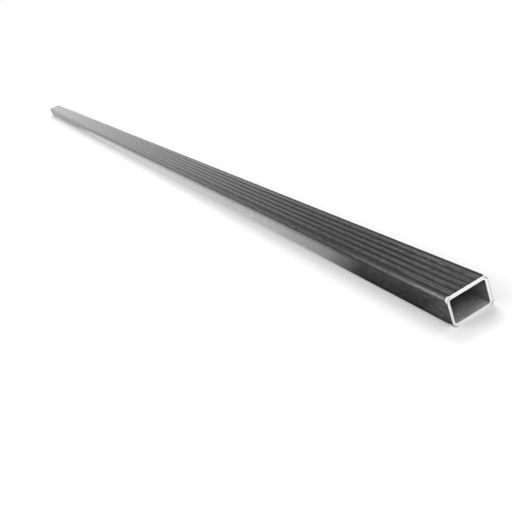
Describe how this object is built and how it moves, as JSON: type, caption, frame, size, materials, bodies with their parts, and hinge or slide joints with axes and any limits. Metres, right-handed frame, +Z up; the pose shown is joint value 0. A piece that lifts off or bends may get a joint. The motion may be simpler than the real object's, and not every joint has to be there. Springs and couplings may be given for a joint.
{
  "type": "roof rack crossbar",
  "caption": "Straight roof rack crossbar: a hollow rectangular steel tube in a thin black plastic coating that is thicker and ribbed lengthwise on top, sawn off square and open at the ends.",
  "frame": {"origin": "under the middle of the bar, on the face that rests on the feet", "axes": "+X along the bar, across the car; +Z up through the ribbed face; +Y along the car"},
  "size_m": [1.98, 0.032, 0.0224],
  "materials": {
    "tube_steel": "bright saw-cut ends, dull grey mill finish inside",
    "black_coating": "satin black with fine lengthwise extrusion lines, pale where sawn"
  },
  "bodies": {
    "root": {"steel_tube": "tube_steel", "ribbed_coating": "black_coating"}
  },
  "joints": []
}
